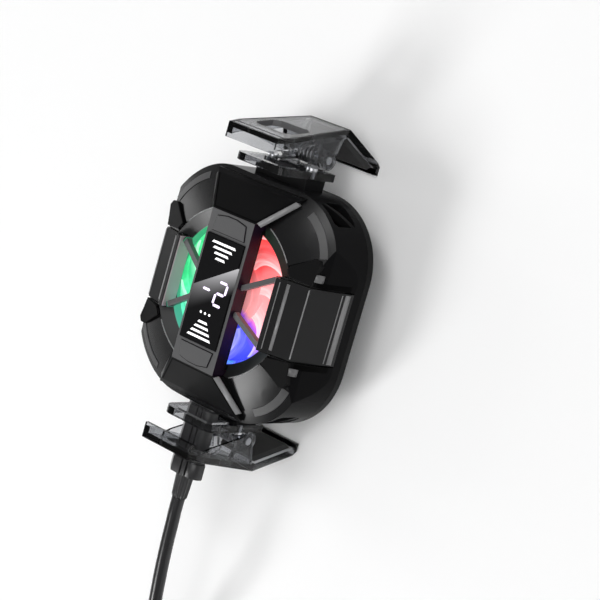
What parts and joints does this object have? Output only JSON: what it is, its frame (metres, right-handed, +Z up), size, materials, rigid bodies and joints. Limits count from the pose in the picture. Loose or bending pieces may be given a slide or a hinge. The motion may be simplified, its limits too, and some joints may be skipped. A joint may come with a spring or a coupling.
{
  "type": "phone cooling fan",
  "caption": "Clip-on phone cooler: a domed black fan body with a lit display bar over a cold plate, held by hinged pinch clips, with a coiled supply cable.",
  "frame": {"origin": "centre of the body at table level, under the clip hooks", "axes": "+Z up along the fan axis, away from the cooled device; +Y from the cable end to the other clip"},
  "size_m": [0.0784, 0.2006, 0.0363],
  "materials": {
    "gloss_black": "glossy moulded",
    "satin_black": "satin moulded",
    "bezel_grey": "satin moulded",
    "lens_black": "polished window",
    "smoke_clear": "smoky clear moulded",
    "milky_clear": "translucent moulded",
    "steel": "plated",
    "brass": "sintered",
    "copper": "wound wire",
    "magnet": "bonded",
    "board_green": "solder mask",
    "white_part": "ceramic",
    "foam": "foam",
    "aluminium": "anodised",
    "silicone": "soft",
    "grip_rubber": "matt",
    "plug_black": "satin moulded",
    "cable_black": "smooth sheath",
    "tie_black": "strap"
  },
  "bodies": {
    "body": {"rear_case": "satin_black", "front_cover": "gloss_black", "upper_end_panel": "satin_black", "lower_end_panel": "satin_black", "left_wing": "gloss_black", "right_wing": "gloss_black", "spine": "bezel_grey", "display_lens": "lens_black", "display_tray": "satin_black", "display_board": "board_green", "digit_block": "white_part", "fan_guard": "satin_black", "fan_frame": "milky_clear", "bearing_sleeve": "brass", "stator": "copper", "led_board": "white_part", "leds": "white_part", "heat_sink": "aluminium", "tec_module": "white_part", "foam_gasket": "foam", "cold_plate": "aluminium", "thermal_pad": "silicone", "power_board": "board_green", "usb_socket": "steel", "case_screws": "steel", "upper_bracket": "smoke_clear", "upper_pin": "steel", "upper_spring": "steel", "lower_bracket": "smoke_clear", "lower_pin": "steel", "lower_spring": "steel", "bracket_screws": "steel", "plug_tip": "steel", "plug_grip": "plug_black", "strain_relief": "plug_black", "cable": "cable_black", "cable_coil": "cable_black", "cable_tie": "tie_black", "usb_a_grip": "plug_black", "usb_a_shell": "steel"},
    "fan": {"rotor": "milky_clear", "rotor_magnet": "magnet", "rotor_shaft": "steel"},
    "upper_clip": {"upper_lever": "smoke_clear", "upper_grip": "grip_rubber"},
    "lower_clip": {"lower_lever": "smoke_clear", "lower_grip": "grip_rubber"}
  },
  "joints": [
    {"name": "fan_spin", "type": "hinge", "parent": "body", "child": "fan", "pos_m": [0, 0, 0.0262], "axis": [0, 0, 1], "continuous": true},
    {"name": "upper_clip_hinge", "type": "hinge", "parent": "body", "child": "upper_clip", "pos_m": [0, 0.0364, 0.0137], "axis": [1, 0, 0], "range_deg": [0, 12], "stiffness_Nm_per_rad": 0.12, "springref_deg": -34.38, "deforming": ["upper_spring"]},
    {"name": "lower_clip_hinge", "type": "hinge", "parent": "body", "child": "lower_clip", "pos_m": [0, -0.0364, 0.0137], "axis": [-1, 0, 0], "range_deg": [0, 12], "stiffness_Nm_per_rad": 0.12, "springref_deg": -34.38, "deforming": ["lower_spring"]}
  ]
}
